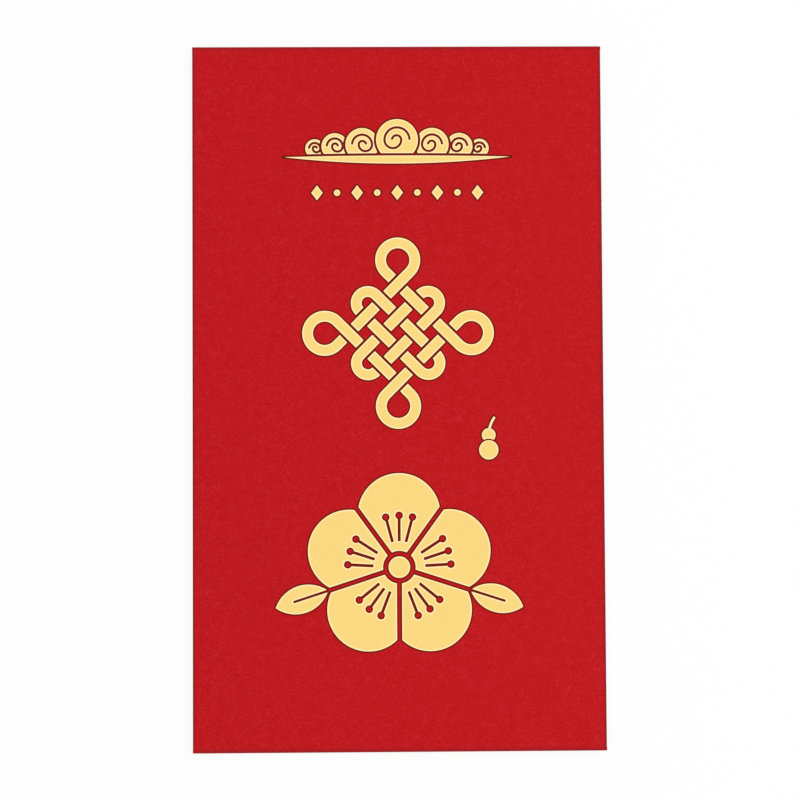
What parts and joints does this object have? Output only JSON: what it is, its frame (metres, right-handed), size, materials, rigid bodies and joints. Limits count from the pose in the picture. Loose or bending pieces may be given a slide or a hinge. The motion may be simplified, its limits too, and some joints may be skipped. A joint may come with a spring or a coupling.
{
  "type": "red envelope",
  "caption": "Flat red card money envelope, folded and glued from one blank, with raised gold foil ornaments on its front and a tapered closing flap that turns on the top crease.",
  "frame": {"origin": "middle of the back, on the surface that the envelope lies on", "axes": "+Y along the long side to the mouth, +X to the right as seen from the front, +Z from the back to the front"},
  "size_m": [0.096, 0.165, 0.0021],
  "materials": {
    "red_card": "matte",
    "gold_foil": "satin",
    "glue": "satin"
  },
  "bodies": {
    "envelope": {"front_panel": "red_card", "back_panel": "red_card", "side_tab": "red_card", "bottom_flap": "red_card", "left_fold": "red_card", "right_fold": "red_card", "bottom_fold": "red_card", "top_fold": "red_card", "side_seam_glue": "glue", "bottom_seam_glue": "glue", "cloud_foil": "gold_foil", "bead_row_foil": "gold_foil", "knot_foil": "gold_foil", "gourd_foil": "gold_foil", "blossom_petals_foil": "gold_foil", "blossom_centre_foil": "gold_foil", "leaf_foil": "gold_foil"},
    "flap": {"top_flap": "red_card"}
  },
  "joints": [
    {"name": "flap_fold", "type": "hinge", "parent": "envelope", "child": "flap", "pos_m": [0, 0.08157, 0.00093], "axis": [1, 0, 0], "range_deg": [0, 178], "deforming": ["top_fold"]}
  ]
}
